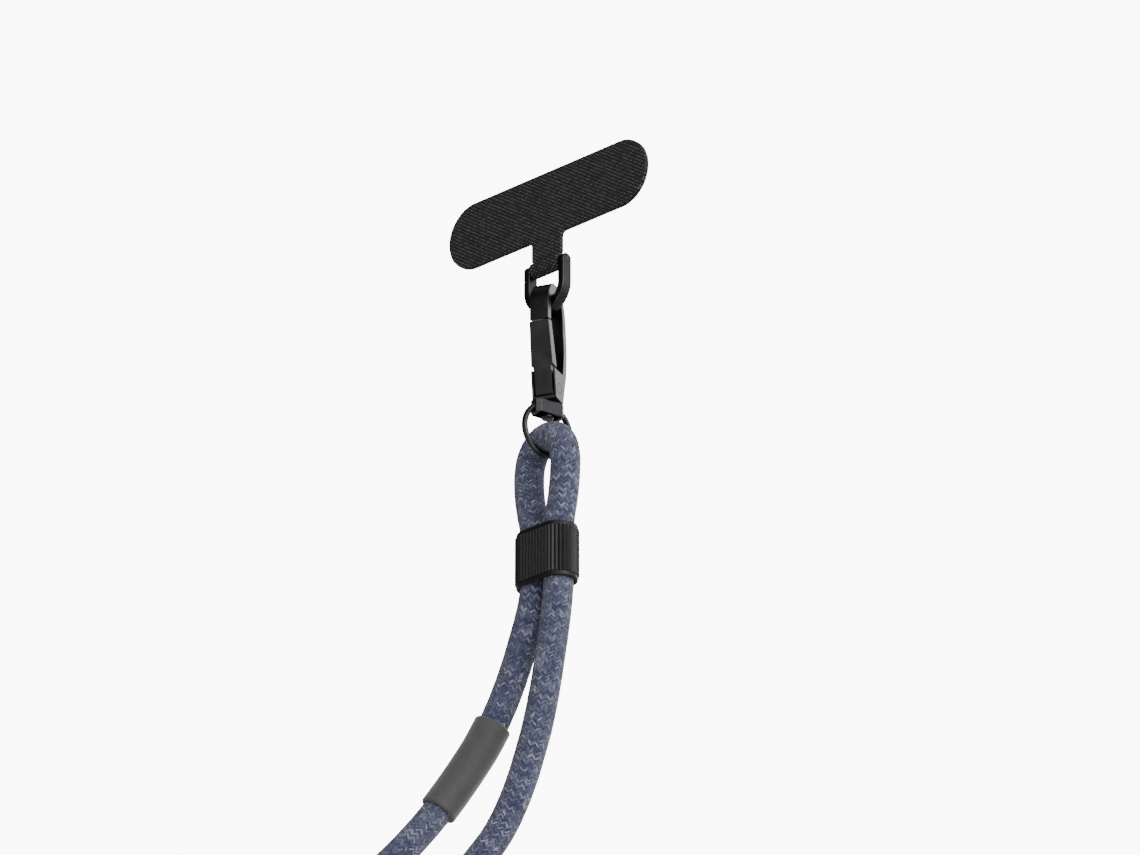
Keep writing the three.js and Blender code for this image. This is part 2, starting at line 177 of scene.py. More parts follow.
# %% A line that knows its length and its cross directions
class Line:
    """Points joined up, with two directions square to the line at each of them."""

    def __init__(self, points):
        self.points = points
        self.distances = [0.0]
        for before, after in zip(points, points[1:]):
            self.distances.append(self.distances[-1] + (after - before).length)
        self.length = self.distances[-1]
        self.sides = self.find_sides()

    def find_sides(self):
        sides = []
        for index, point in enumerate(self.points):
            before = self.points[max(index - 1, 0)]
            after = self.points[min(index + 1, len(self.points) - 1)]
            tangent = (after - before).normalized()
            if sides:
                last_side, last_tangent = sides[-1]
                side = last_tangent.rotation_difference(tangent) @ last_side
            else:
                side = tangent.orthogonal()
            sides.append(((side - side.dot(tangent) * tangent).normalized(), tangent))
        return sides

    def place(self, distance):
        """The point a given way along the line, and its two cross directions."""
        distance = min(max(distance, 0.0), self.length)
        after = min(max(bisect_right(self.distances, distance), 1), len(self.distances) - 1)
        before = after - 1
        share = (distance - self.distances[before]) / (self.distances[after] - self.distances[before])
        point = self.points[before].lerp(self.points[after], share)
        side = self.sides[before][0].lerp(self.sides[after][0], share)
        tangent = self.sides[before][1].lerp(self.sides[after][1], share).normalized()
        side = (side - side.dot(tangent) * tangent).normalized()
        return point, side, tangent.cross(side)


rope_line = Line(rope_points)
print("rope length:", round(rope_line.length, 3), "m")


# %% [markdown]
# ## Helpers for modelling by hand
# Most metal pieces are outlines given a thickness. An outline is drawn as by hand: one point of a
# small plane is extruded again and again, the ring of points is filled and the face is extruded.
# A cube cut to shape would need many more cuts for the hook's curved back.

# %% Select, draw an outline, extrude, cut and bevel
def select_only(piece):
    bpy.ops.object.select_all(action="DESELECT")
    piece.select_set(True)
    bpy.context.view_layer.objects.active = piece


def draw_solid(name, outline, step):
    """A solid whose face is the outline, a list of points, and whose depth is the vector step."""
    bpy.ops.object.select_all(action="DESELECT")
    bpy.ops.mesh.primitive_plane_add(size=MM, location=(0, 0, 0))
    piece = bpy.context.object
    piece.name = name
    bpy.ops.object.mode_set(mode="EDIT")
    bpy.ops.mesh.merge(type="CENTER")
    here = Vector((0, 0, 0))
    for there in outline:
        bpy.ops.mesh.extrude_vertices_move(TRANSFORM_OT_translate={"value": there - here})
        here = there
    bpy.ops.mesh.select_all(action="DESELECT")
    bpy.ops.object.mode_set(mode="OBJECT")
    piece.data.vertices[0].select = True
    bpy.ops.object.mode_set(mode="EDIT")
    bpy.ops.mesh.delete(type="VERT")
    bpy.ops.mesh.select_all(action="SELECT")
    bpy.ops.mesh.edge_face_add()
    bpy.ops.mesh.extrude_region_move(TRANSFORM_OT_translate={"value": step})
    bpy.ops.mesh.select_all(action="SELECT")
    bpy.ops.mesh.normals_make_consistent(inside=False)
    bpy.ops.object.mode_set(mode="OBJECT")
    return piece


def outline_across_x(points, width):
    """Outline points (y, z) for a solid of a given width, centred on x = 0, and its step."""
    return [Vector((-width / 2, y, z)) for y, z in points], Vector((width, 0, 0))


def outline_across_y(points, depth):
    """Outline points (x, z) for a solid of a given depth, centred on y = 0, and its step."""
    return [Vector((x, -depth / 2, z)) for x, z in points], Vector((0, depth, 0))


def outline_across_z(points, low, high):
    """Outline points (x, y) for a solid between two heights, and its step."""
    return [Vector((x, y, low)) for x, y in points], Vector((0, 0, high - low))


def combine(piece, tool, operation):
    """Join, cut or intersect a piece with a tool, which is used up."""
    select_only(piece)
    modifier = piece.modifiers.new(operation.lower(), "BOOLEAN")
    modifier.operation = operation
    modifier.solver = "EXACT"
    modifier.object = tool
    bpy.ops.object.modifier_apply(modifier=modifier.name)
    bpy.data.objects.remove(tool, do_unlink=True)
    return piece


def bevel_edges(piece, width, segments=2, angle=32, clamp=True):
    select_only(piece)
    modifier = piece.modifiers.new("bevel", "BEVEL")
    modifier.width = width
    modifier.segments = segments
    modifier.limit_method = "ANGLE"
    modifier.angle_limit = math.radians(angle)
    modifier.use_clamp_overlap = clamp
    bpy.ops.object.modifier_apply(modifier=modifier.name)
    return piece


def shade(piece, angle=38):
    """Smooth shading up to an angle, with large faces kept flat."""
    select_only(piece)
    bpy.ops.object.shade_smooth_by_angle(angle=math.radians(angle))
    modifier = piece.modifiers.new("flat_faces", "WEIGHTED_NORMAL")
    modifier.keep_sharp = True
    bpy.ops.object.modifier_apply(modifier=modifier.name)
    return piece


def cylinder(name, radius, depth, location, along="Z", sides=48):
    turns = {"X": (0, math.pi / 2, 0), "Y": (math.pi / 2, 0, 0), "Z": (0, 0, 0)}
    bpy.ops.object.select_all(action="DESELECT")
    bpy.ops.mesh.primitive_cylinder_add(
        vertices=sides, radius=radius, depth=depth, location=location, rotation=turns[along])
    piece = bpy.context.object
    piece.name = name
    bpy.ops.object.transform_apply(location=True, rotation=True, scale=True)
    return piece


def turn_about_z(piece, angle):
    """Turn a piece about the vertical axis through the origin, and keep the turn in its mesh."""
    select_only(piece)
    piece.rotation_euler = (0, 0, angle)
    bpy.ops.object.transform_apply(location=True, rotation=True, scale=True)
    return piece


def arc(centre, radius, start, end, steps):
    """Points of an arc, with its angles in degrees."""
    points = []
    for step in range(steps + 1):
        angle = math.radians(start + (end - start) * step / steps)
        points.append((centre[0] + radius * math.cos(angle), centre[1] + radius * math.sin(angle)))
    return points


# %% [markdown]
# ## Helpers for materials
# A pattern is easier to read as an expression than as a chain of nodes. The class below wraps one
# socket, and each operator on it adds the Math node that does the sum.

# %% Sums on sockets, and one maker for every other node
class Value:
    """One number of a shader, which takes part in sums."""

    def __init__(self, tree, socket):
        self.tree = tree
        self.socket = socket

    def math(self, operation, *others):
        node = self.tree.nodes.new("ShaderNodeMath")
        node.operation = operation
        for slot, item in zip(node.inputs, (self, *others)):
            if isinstance(item, Value):
                self.tree.links.new(item.socket, slot)
            else:
                slot.default_value = item
        return Value(self.tree, node.outputs[0])

    def __add__(self, other):
        return self.math("ADD", other)

    def __sub__(self, other):
        return self.math("SUBTRACT", other)

    def __mul__(self, other):
        return self.math("MULTIPLY", other)

    def __rsub__(self, other):
        return (self * -1) + other


class Finish:
    """A material that is built node by node."""

    def __init__(self, name):
        self.material = bpy.data.materials.new(name)
        self.material.use_nodes = True
        self.tree = self.material.node_tree
        self.shader = self.tree.nodes["Principled BSDF"]

    def node(self, kind, settings=None, **inputs):
        made = self.tree.nodes.new("ShaderNode" + kind)
        for key, value in (settings or {}).items():
            setattr(made, key, value)
        for key, value in inputs.items():
            slot = made.inputs[key.replace("_", " ")]
            if isinstance(value, Value):
                self.tree.links.new(value.socket, slot)
            elif isinstance(value, bpy.types.NodeSocket):
                self.tree.links.new(value, slot)
            else:
                slot.default_value = value
        return made

    def value(self, socket):
        return Value(self.tree, socket)

    def ramp(self, factor, stops):
        """A colour ramp whose stops are (place, colour)."""
        made = self.node("ValToRGB", Fac=factor)
        points = made.color_ramp.elements
        while len(points) < len(stops):
            points.new(0.5)
        for point, (place, colour) in zip(points, stops):
            point.position = place
            point.color = (*colour, 1)
        return made.outputs["Color"]

    def split(self, vector):
        made = self.node("SeparateXYZ", Vector=vector)
        return [self.value(made.outputs[axis]) for axis in "XYZ"]

    def grain(self, place, scale, detail=2.0):
        """Noise with about as many grains in a metre as scale says."""
        made = self.node("TexNoise", Vector=place, Scale=scale, Detail=detail)
        return self.value(made.outputs[0])

    def chance(self, column, row):
        """A random number for each cell of a pattern."""
        cell = self.node("CombineXYZ", X=column, Y=row)
        made = self.node("TexWhiteNoise", {"noise_dimensions": "2D"}, Vector=cell.outputs[0])
        return self.value(made.outputs["Value"])

    def feed(self, name, source):
        socket = source.socket if isinstance(source, Value) else source
        self.tree.links.new(socket, self.shader.inputs[name])

    def set(self, **values):
        for key, value in values.items():
            self.shader.inputs[key.replace("_", " ")].default_value = value

    def bump(self, height, strength, distance):
        made = self.node("Bump", Height=height, Strength=strength, Distance=distance)
        self.feed("Normal", made.outputs["Normal"])


FIBRE_GRAIN = 5200.0  # grains in a metre, for single fibres of a cloth


def linear(red, green, blue):
    """A colour that was read off a screen, from 0 to 255, as the shader needs it."""
    result = []
    for channel in (red, green, blue):
        share = channel / 255
        result.append(share / 12.92 if share <= 0.04045 else ((share + 0.055) / 1.055) ** 2.4)
    return tuple(result)


def dress(piece, finish):
    piece.data.materials.clear()
    piece.data.materials.append(finish.material)


# %% [markdown]
# ## Dark metal
# The hook, ring and eye have a black nickel finish: dark where they face the room and light grey
# where they face a window. A metallic shader with a dark tint gives both, and fine noise in its
# roughness breaks up the reflections as tumbled castings do.

# %% Dark metal finish
METAL_GRAIN = 2600.0
METAL_CLOUDS = 260.0
METAL_ROUGHNESS = 0.24
GRAIN_DEPTH = 0.04 * MM


def make_metal():
    finish = Finish("dark_metal")
    place = finish.node("TexCoord").outputs["Object"]
    fine = finish.grain(place, METAL_GRAIN, 3.0)
    broad = finish.grain(place, METAL_CLOUDS)
    finish.feed("Base Color", finish.ramp(broad, [
        (0.3, linear(58, 58, 60)), (0.7, linear(74, 74, 76))]))
    finish.feed("Roughness", fine * 0.10 + broad * 0.08 + METAL_ROUGHNESS)
    finish.set(Metallic=1.0)
    finish.bump(fine, 0.12, GRAIN_DEPTH)
    return finish


metal = make_metal()
print("made", metal.material.name)


# %% [markdown]
# ## Woven tab fabric
# The tab is cut from a black basket weave. Greyer yarns run across and show as short dashes, and
# each row is shifted by half a step, where a black yarn of the other direction lies on top.

# %% Basket weave finish
YARN_ACROSS = 1.4 * MM
YARN_ALONG = 0.46 * MM
YARN_DEPTH = 0.14 * MM


def make_weave():
    finish = Finish("tab_fabric")
    across, along, _ = finish.split(finish.node("UVMap", {"uv_map": "UVMap"}).outputs["UV"])
    row = along * (1 / YARN_ALONG)
    row_number = row.math("FLOOR")
    shift = row_number * 0.5
    column = across * (1 / YARN_ACROSS) + shift
    hump_across = (column.math("FRACT") * math.pi).math("SINE")
    hump_along = (row.math("FRACT") * math.pi).math("SINE")
    dash = hump_across.math("POWER", 1.6) * hump_along.math("POWER", 0.8)
    crossing = (1.0 - hump_across) * 0.5
    hump = dash + crossing
    chance = finish.chance(column.math("FLOOR"), row_number)
    fibre = finish.grain(finish.node("TexCoord").outputs["Object"], FIBRE_GRAIN)
    shade = dash * (chance * 0.35 + 0.45) + fibre * 0.2
    finish.feed("Base Color", finish.ramp(shade, [
        (0.1, linear(22, 22, 22)), (0.4, linear(50, 50, 50)), (0.9, linear(112, 112, 111))]))
    finish.feed("Roughness", 0.92 - hump * 0.12)
    finish.set(Specular_IOR_Level=0.3)
    finish.bump(hump + fibre * 0.25, 0.8, YARN_DEPTH)
    return finish


weave = make_weave()
print("made", weave.material.name)


# %% [markdown]
# ## Braided rope cover
# The cover is a herringbone braid: slanted stitches whose slant flips from column to column. One
# wave round the rope bends straight rows into zigzags. A random number for each stitch, and one
# for each short row of stitches, give the mixed navy, blue-grey and pale yarns. It follows the
# rope through its own map.

# %% Herringbone braid finish
BRAID_COLUMNS = 12
STITCH_ALONG = 0.42 * MM
STITCH_SLANT = 0.92
STITCH_DEPTH = 0.22 * MM
DRIFT_GRAIN = 420.0  # unevenness that shifts the rows a little
PATCH_GRAIN = 240.0  # clouds of darker and lighter yarn


def make_braid():
    finish = Finish("braid")
    around, along, _ = finish.split(finish.node("UVMap", {"uv_map": "UVMap"}).outputs["UV"])
    place = finish.node("TexCoord").outputs["Object"]
    drift = finish.grain(place, DRIFT_GRAIN)
    column = around * (2.0 * BRAID_COLUMNS)
    wave = (column * 0.5).math("FRACT").math("MULTIPLY", 2.0) - 1.0
    zigzag = wave.math("ABSOLUTE") * (2 * STITCH_SLANT)
    row = along * (1 / STITCH_ALONG) + zigzag + drift * 0.9
    row_number = row.math("FLOOR")
    stitch_along = (row.math("FRACT") * math.pi).math("SINE")
    stitch_across = (column.math("FRACT") * math.pi).math("SINE")
    hump = stitch_along.math("POWER", 0.6) * stitch_across.math("POWER", 0.45)
    chance = finish.chance(column.math("FLOOR"), row_number)
    row_chance = finish.chance((column * 0.25).math("FLOOR"), row_number)
    patch = finish.grain(place, PATCH_GRAIN, 3.0)
    fibre = finish.grain(place, FIBRE_GRAIN)
    mix = chance * 0.38 + row_chance * 0.30 + patch * 0.28 + fibre * 0.22 - 0.07
    colour = finish.ramp(mix, [
        (0.12, linear(36, 39, 72)), (0.38, linear(64, 69, 102)), (0.58, linear(92, 97, 124)),
        (0.74, linear(134, 137, 155)), (0.90, linear(192, 192, 202))])
    # Painted shade: the yarn colour is multiplied darker in the dips between stitches, down to about a
    # third in the deepest gaps.
    shade = finish.ramp(hump, [(0.0, (0.30, 0.30, 0.34)), (0.55, (1, 1, 1))])
    yarn_colour_with_painted_shade = finish.node("Mix", {"data_type": "RGBA", "blend_type": "MULTIPLY"})
    yarn_colour_with_painted_shade.inputs[0].default_value = 1.0
    finish.tree.links.new(colour, yarn_colour_with_painted_shade.inputs[6])
    finish.tree.links.new(shade, yarn_colour_with_painted_shade.inputs[7])
    finish.feed("Base Color", yarn_colour_with_painted_shade.outputs[2])
    finish.feed("Roughness", 0.97 - fibre * 0.08)
    finish.set(Specular_IOR_Level=0.15, Sheen_Weight=0.25, Sheen_Roughness=0.6)
    finish.bump(hump + fibre * 0.35, 0.75, STITCH_DEPTH)
    return finish


braid = make_braid()
print("made", braid.material.name)


# %% [markdown]
# ## Slider plastic and sleeve rubber
# Both are plain matt mouldings. The slider is nearly black with a faint grain, and the sleeve is a
# dark grey that scatters light softly. Noise in colour and roughness keeps them from looking like
# flat paint.

# %% Matt moulding finishes
MOULD_GRAIN = 3200.0
MOULD_CLOUDS = 180.0


def make_moulding(name, dark, light, rough, shine, sheen):
    finish = Finish(name)
    place = finish.node("TexCoord").outputs["Object"]
    fine = finish.grain(place, MOULD_GRAIN)
    broad = finish.grain(place, MOULD_CLOUDS, 3.0)
    finish.feed("Base Color", finish.ramp(broad, [(0.3, dark), (0.7, light)]))
    finish.feed("Roughness", broad * 0.1 + rough)
    finish.set(Specular_IOR_Level=shine, Sheen_Weight=sheen, Sheen_Roughness=0.5)
    finish.bump(fine, 0.25, GRAIN_DEPTH)
    return finish


slider_plastic = make_moulding("slider_plastic", linear(13, 13, 13), linear(19, 19, 19), 0.42, 0.4, 0)
sleeve_rubber = make_moulding("sleeve_rubber", linear(65, 65, 65), linear(73, 73, 73), 0.6, 0.4, 0.5)
print("made", slider_plastic.material.name, "and", sleeve_rubber.material.name)


# %% [markdown]
# ## The rope
# A braided cover over a core keeps its round section, so the rope is one tube along the route. It
# is built ring by ring, because that gives each point a map place: the share of the way round and
# the distance along. Slight swelling from stitch to stitch keeps its outline from looking turned.

# %% Sweep rings along the rope
ROPE_SIDES = 32
ROPE_STEP = 0.9 * MM
ROPE_SWELL = 0.06 * MM
SWELL_GRAIN = 900


def sweep(name, line, rings, sides, closed, swell=0.0):
    """A skin through rings (distance along the line, radius), closed on itself or capped."""
    vertices = []
    for distance, radius in rings:
        point, side, other = line.place(distance)
        for index in range(sides):
            angle = 2 * math.pi * index / sides
            across = math.cos(angle) * side + math.sin(angle) * other
            lump = swell * noise.noise((point + radius * across) * SWELL_GRAIN)
            vertices.append(point + (radius + lump) * across)
    faces = []
    count = len(rings)
    for ring in range(count if closed else count - 1):
        following = (ring + 1) % count
        for index in range(sides):
            beside = (index + 1) % sides
            faces.append((ring * sides + index, ring * sides + beside,
                          following * sides + beside, following * sides + index))
    if not closed:
        faces.append(tuple(range(sides))[::-1])
        faces.append(tuple(range((count - 1) * sides, count * sides)))
    mesh = bpy.data.meshes.new(name)
    mesh.from_pydata(vertices, [], faces)
    uv_map = mesh.uv_layers.new(name="UVMap")
    for face in mesh.polygons:
        face.use_smooth = True
        seam = {vertex % sides for vertex in face.vertices} >= {0, sides - 1}
        for corner in face.loop_indices:
            vertex = mesh.loops[corner].vertex_index
            turn = vertex % sides
            around = 1.0 if seam and turn == 0 else turn / sides
            uv_map.data[corner].uv = (around, rings[vertex // sides][0])
    piece = bpy.data.objects.new(name, mesh)
    bpy.context.collection.objects.link(piece)
    select_only(piece)
    bpy.ops.object.mode_set(mode="EDIT")
    bpy.ops.mesh.select_all(action="SELECT")
    bpy.ops.mesh.normals_make_consistent(inside=False)
    bpy.ops.object.mode_set(mode="OBJECT")
    return piece


rope_rings = round(rope_line.length / ROPE_STEP)
rope = sweep("braided_rope", rope_line, [
    (rope_line.length * ring / rope_rings, ROPE_DIAMETER / 2) for ring in range(rope_rings + 1)
], ROPE_SIDES, closed=False, swell=ROPE_SWELL)
dress(rope, braid)
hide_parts("rope")
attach(rope, "loop")
print("rope faces:", len(rope.data.polygons))


# %% [markdown]
# ## The sleeve over the rope's joint
# The rope's two ends butt inside a short dark tube. It bends with the rope, so it is swept along
# the same line, with its rings running along the outside and back through the bore.

# %% Sweep the sleeve
ROPE_ROOM = 0.3 * MM
SLEEVE_WALL = 0.6 * MM
SLEEVE_BORE = ROPE_DIAMETER / 2 + ROPE_ROOM
SLEEVE_OUTSIDE = SLEEVE_BORE + SLEEVE_WALL
SLEEVE_POINTS = 2
SLEEVE_ROUND = 0.5 * MM
SLEEVE_STEPS = 60
SLEEVE_SIDES = 48


def make_sleeve():
    upper = ROUTE[:SLEEVE_POINTS + 1]
    lower = ROUTE[-SLEEVE_POINTS - 1:-1]
    line = Line(curve_points(lower + upper, FINE_STEPS))
    outside = []
    inside = []
    for step in range(SLEEVE_STEPS + 1):
        turn = math.pi * step / SLEEVE_STEPS
        distance = line.length * (1 - math.cos(turn)) / 2
        edge = min(distance, line.length - distance, SLEEVE_ROUND)
        ease = math.sqrt(SLEEVE_ROUND ** 2 - (SLEEVE_ROUND - edge) ** 2)
        outside.append((distance, SLEEVE_OUTSIDE - SLEEVE_ROUND + ease))
        inside.append((distance, SLEEVE_BORE))
    return sweep("joint_sleeve", line, outside + inside[::-1], SLEEVE_SIDES, closed=True)


sleeve = make_sleeve()
shade(sleeve, angle=50)
dress(sleeve, sleeve_rubber)
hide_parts("rope_sleeve")
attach(sleeve, "loop")
print("sleeve:", [round(side / MM, 1) for side in sleeve.dimensions], "mm")


# %% [markdown]
# ## The ribbed slider
# The slider is one oblong moulding with fine upright ribs between two smooth rims. Its outline is
# drawn once with the ribs in it and once plain for the rims, and an oblong hole is cut through.

# %% Draw the slider
SLIDER_LEG_PITCH = 7.5 * MM
SLIDER_WALL = 0.9 * MM
SLIDER_RIM = 1.0 * MM
SLIDER_RIBS = 46
SLIDER_RIB_DEPTH = 0.32 * MM
SLIDER_RIM_BEVEL = 0.22 * MM
SLIDER_RIB_BEVEL = 0.1 * MM
RIB_POINTS = 6
RIM_POINTS = 120
HOLE_POINTS = 96
PATH_EVERY = 6  # each sixth point of the fine curve is picked out at the end of the slider cell, and the pick is not kept


def oblong_points(straight, radius, count, proud=None):
    """Points round an oblong, pushed out by proud(index) where it is given."""
    side, turn = 2 * straight, math.pi * radius
    whole = 2 * side + 2 * turn
    points = []
    for index in range(count):
        out = radius + (proud(index) if proud else 0.0)
        along = whole * index / count
        if along < turn:
            angle = -math.pi / 2 + along / radius
            points.append((straight + out * math.cos(angle), out * math.sin(angle)))
        elif along < turn + side:
            points.append((straight - (along - turn), out))
        elif along < 2 * turn + side:
            angle = math.pi / 2 + (along - turn - side) / radius
            points.append((-straight + out * math.cos(angle), out * math.sin(angle)))
        else:
            points.append((-straight + (along - 2 * turn - side), -out))
    return points


def make_slider():
    low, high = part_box("rope_slider")
    straight = SLIDER_LEG_PITCH / 2
    bore = ROPE_DIAMETER / 2 + ROPE_ROOM
    outer = bore + SLIDER_WALL
    plain = oblong_points(straight, outer - SLIDER_RIB_DEPTH, RIM_POINTS)
    piece = draw_solid("ribbed_slider", *outline_across_z(plain, low[2], high[2]))
    bevel_edges(piece, SLIDER_RIM_BEVEL, segments=3, angle=60)

    def rib(index):
        return SLIDER_RIB_DEPTH * (math.cos(2 * math.pi * index / RIB_POINTS) - 1) / 2

    ribbed = oblong_points(straight, outer, SLIDER_RIBS * RIB_POINTS, rib)
    band = draw_solid("ribbed_band", *outline_across_z(ribbed, low[2] + SLIDER_RIM, high[2] - SLIDER_RIM))
    bevel_edges(band, SLIDER_RIB_BEVEL, segments=1, angle=60)
    combine(piece, band, "UNION")
    hole_outline = oblong_points(straight, bore, HOLE_POINTS)
    hole = draw_solid("slider_hole", *outline_across_z(hole_outline, low[2] - MM, high[2] + MM))
    combine(piece, hole, "DIFFERENCE")
    return shade(piece)


slider = make_slider()
dress(slider, slider_plastic)
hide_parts("rope_slider")
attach(slider, "loop")
rope_points[:-1:PATH_EVERY] + [rope_points[-1]]
print("slider:", [round(side / MM, 1) for side in slider.dimensions], "mm")


# %% [markdown]
# ## The D-ring
# The D-ring is a U-shaped bar whose two round ends take the cross pin. Its outline is drawn from
# the front and its leg ends are rounded by crossing it with a second outline, drawn from the side.
# A wide bevel gives the bar the soft edges of a casting.

# %% Draw the D-ring
RING_BAR = 1.8 * MM
RING_BEVEL = 0.3 * MM
CROSS_PIN_HOLE = 0.92 * MM


def make_d_ring():
    low, high = (Vector(corner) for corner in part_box("d_ring"))
    outer = (high.x - low.x) / 2
    inner = outer - RING_BAR
    depth = high.y - low.y
    arch = low.z + outer
    outline = [(-outer, high.z), *arc((0, arch), outer, 180, 360, 48), (outer, high.z), (inner, high.z),
               *arc((0, arch), inner, 0, -180, 40), (-inner, high.z)]
    piece = draw_solid("shackle_ring", *outline_across_y(outline, depth))
    pin = cross_pin_middle.z
    side = [(depth / 2, low.z - MM), *arc((0, pin), depth / 2, 0, 180, 24), (-depth / 2, low.z - MM)]
    combine(piece, draw_solid("round_ends", *outline_across_x(side, 3 * outer)), "INTERSECT")
    bevel_edges(piece, RING_BEVEL, segments=3, angle=60)
    combine(piece, cylinder("pin_hole", CROSS_PIN_HOLE, 4 * outer, (0, 0, pin), "X"), "DIFFERENCE")
    return shade(piece)


d_ring = make_d_ring()
dress(d_ring, metal)
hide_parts("d_ring")
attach(d_ring, "ring_and_hook")
print("D-ring:", [round(side / MM, 1) for side in d_ring.dimensions], "mm")


# %% [markdown]
# ## The snap hook
# The hook is a flat casting: a crown that hangs on the D-ring, a bowed back leg and a base with two
# ears. A side outline gives the curves and a front outline the taper, and the solid is where both
# agree. The pocket between the ears, the pin's hole and the rivet's hole are cut afterwards.

# %% Draw the hook's body
HOOK_TURN = math.radians(22)
HOOK_TOP = cross_pin_middle.z - 4.9 * MM
HOOK_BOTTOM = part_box("hook_body")[0][2]
SEAM_DROP = 10.8 * MM
SEAM_GAP = 0.4 * MM
SEAM_RISE = 0.3 * MM
NOSE_DEPTH = 5.3 * MM
NOSE_WALL = 2.0 * MM
BASE_WIDTH = 6.0 * MM
TOP_WIDTH = 4.6 * MM
BASE_FRONT = 1.9 * MM
EARS_HEIGHT = 7.2 * MM
HOOK_FLOOR = 0.9 * MM
STEM_WIDTH = 4.4 * MM
PIN_RISE = 3.05 * MM
PIN_DEPTH = 0.1 * MM
GATE_EYE = 1.8 * MM
PIN_GAP = 0.12 * MM
STEM_GAP = 0.3 * MM
GATE_PIN_HOLE = 1.22 * MM
RIVET_HOLE = 0.87 * MM
RIVET_SEAT = (1.62 * MM, 0.9 * MM)  # radius and height
TOOL_DEPTH = 30 * MM  # deeper than any piece that a tool goes through
PIN_TOOL_DEPTH = 12 * MM
OUTLINE_STEPS = 5
HOOK_BEVEL = 0.16 * MM
HOOK_CORNER = 0.5 * MM


def smooth_outline(points, steps):
    flat = [Vector((depth * MM, 0, height * MM)) for depth, height in points]
    return [(point.x, point.z) for point in curve_points(flat, steps, power=0)]


def make_hook_body():
    pin = cross_pin_middle.z
    seam = HOOK_TOP - SEAM_DROP
    ears = HOOK_BOTTOM + EARS_HEIGHT
    bottom_mm = (HOOK_BOTTOM - pin) / MM
    back = [(depth, height + pin) for depth, height in smooth_outline([
        (-5.3, -11.1), (-4.9, -8.9), (-2.9, -6.2), (0.3, -4.9), (3.2, -6.4), (5.2, -10.4), (6.0, -15.6),
        (5.75, -20.5), (4.9, -25.2), (3.7, -30.0), (2.6, bottom_mm)],
        OUTLINE_STEPS)]
    inside = [(depth, height + pin) for depth, height in smooth_outline([
        (2.2, bottom_mm + 7.2), (3.2, -23.5), (3.85, -20.0), (3.9, -15.6), (3.6, -11.8), (2.9, -9.2),
        (1.3, -8.2), (-1.3, -8.2), (-2.8, -9.1), (-3.3, -11.6)],
        OUTLINE_STEPS)]
    side = [(-NOSE_DEPTH, seam), *back, (-BASE_FRONT, HOOK_BOTTOM), (-BASE_FRONT - MM, ears), *inside,
            (-NOSE_DEPTH + NOSE_WALL, seam + SEAM_RISE)]
    piece = draw_solid("snap_hook", *outline_across_x(side, 2 * BASE_WIDTH))
    top, base, corner = TOP_WIDTH / 2, BASE_WIDTH / 2, HOOK_CORNER
    right = [(base, HOOK_BOTTOM), (base, ears), (top, seam), (top, HOOK_TOP - 2 * corner),
             (top - 0.3 * corner, HOOK_TOP - corner), (top - corner, HOOK_TOP - 0.3 * corner),
             (top - 2 * corner, HOOK_TOP + corner)]
    front = right + [(-x, z) for x, z in right[::-1]]
    combine(piece, draw_solid("hook_front", *outline_across_y(front, TOOL_DEPTH)), "INTERSECT")
    pocket_back = PIN_DEPTH + GATE_EYE + PIN_GAP
    pocket = draw_solid("pocket", *outline_across_x([
        (-NOSE_DEPTH, HOOK_BOTTOM + HOOK_FLOOR), (pocket_back, HOOK_BOTTOM + HOOK_FLOOR),
        (pocket_back, ears + MM), (-NOSE_DEPTH, ears + MM)], STEM_WIDTH + 2 * STEM_GAP))
    combine(piece, pocket, "DIFFERENCE")
    bevel_edges(piece, HOOK_BEVEL, angle=50, clamp=False)
    pin_middle = (0, PIN_DEPTH, HOOK_BOTTOM + PIN_RISE)
    hole = cylinder("gate_pin_hole", GATE_PIN_HOLE, PIN_TOOL_DEPTH, pin_middle, "X")
    combine(piece, hole, "DIFFERENCE")
    combine(piece, cylinder("rivet_hole", RIVET_HOLE, 4 * MM, (0, 0, HOOK_BOTTOM)), "DIFFERENCE")
    seat = cylinder("rivet_seat", *RIVET_SEAT, (0, 0, HOOK_BOTTOM + HOOK_FLOOR))
    combine(piece, seat, "DIFFERENCE")
    return turn_about_z(shade(piece), HOOK_TURN)


hook_body = make_hook_body()
dress(hook_body, metal)
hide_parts("hook_body")
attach(hook_body, "ring_and_hook")
print("hook body:", [round(side / MM, 1) for side in hook_body.dimensions], "mm")


# %% [markdown]
# ## The gate
# A thumb pushes the gate inwards to open the hook. It is a flat blade that narrows into a stem
# between the ears, where it turns on its pin. Two outlines cross here too.

# %% Draw the gate
GATE_WALL = 2.05 * MM
GATE_SHOULDER = 8.1 * MM
GATE_TOP_WIDTH = 4.8 * MM
GATE_WIDE = 5.4 * MM
BLADE_FRONT = 3.5 * MM  # where the blade ends and the stem starts
BLADE_BACK = 0.75 * MM
STEM_CORNER = 0.4 * MM
STEM_STEP = 0.3 * MM


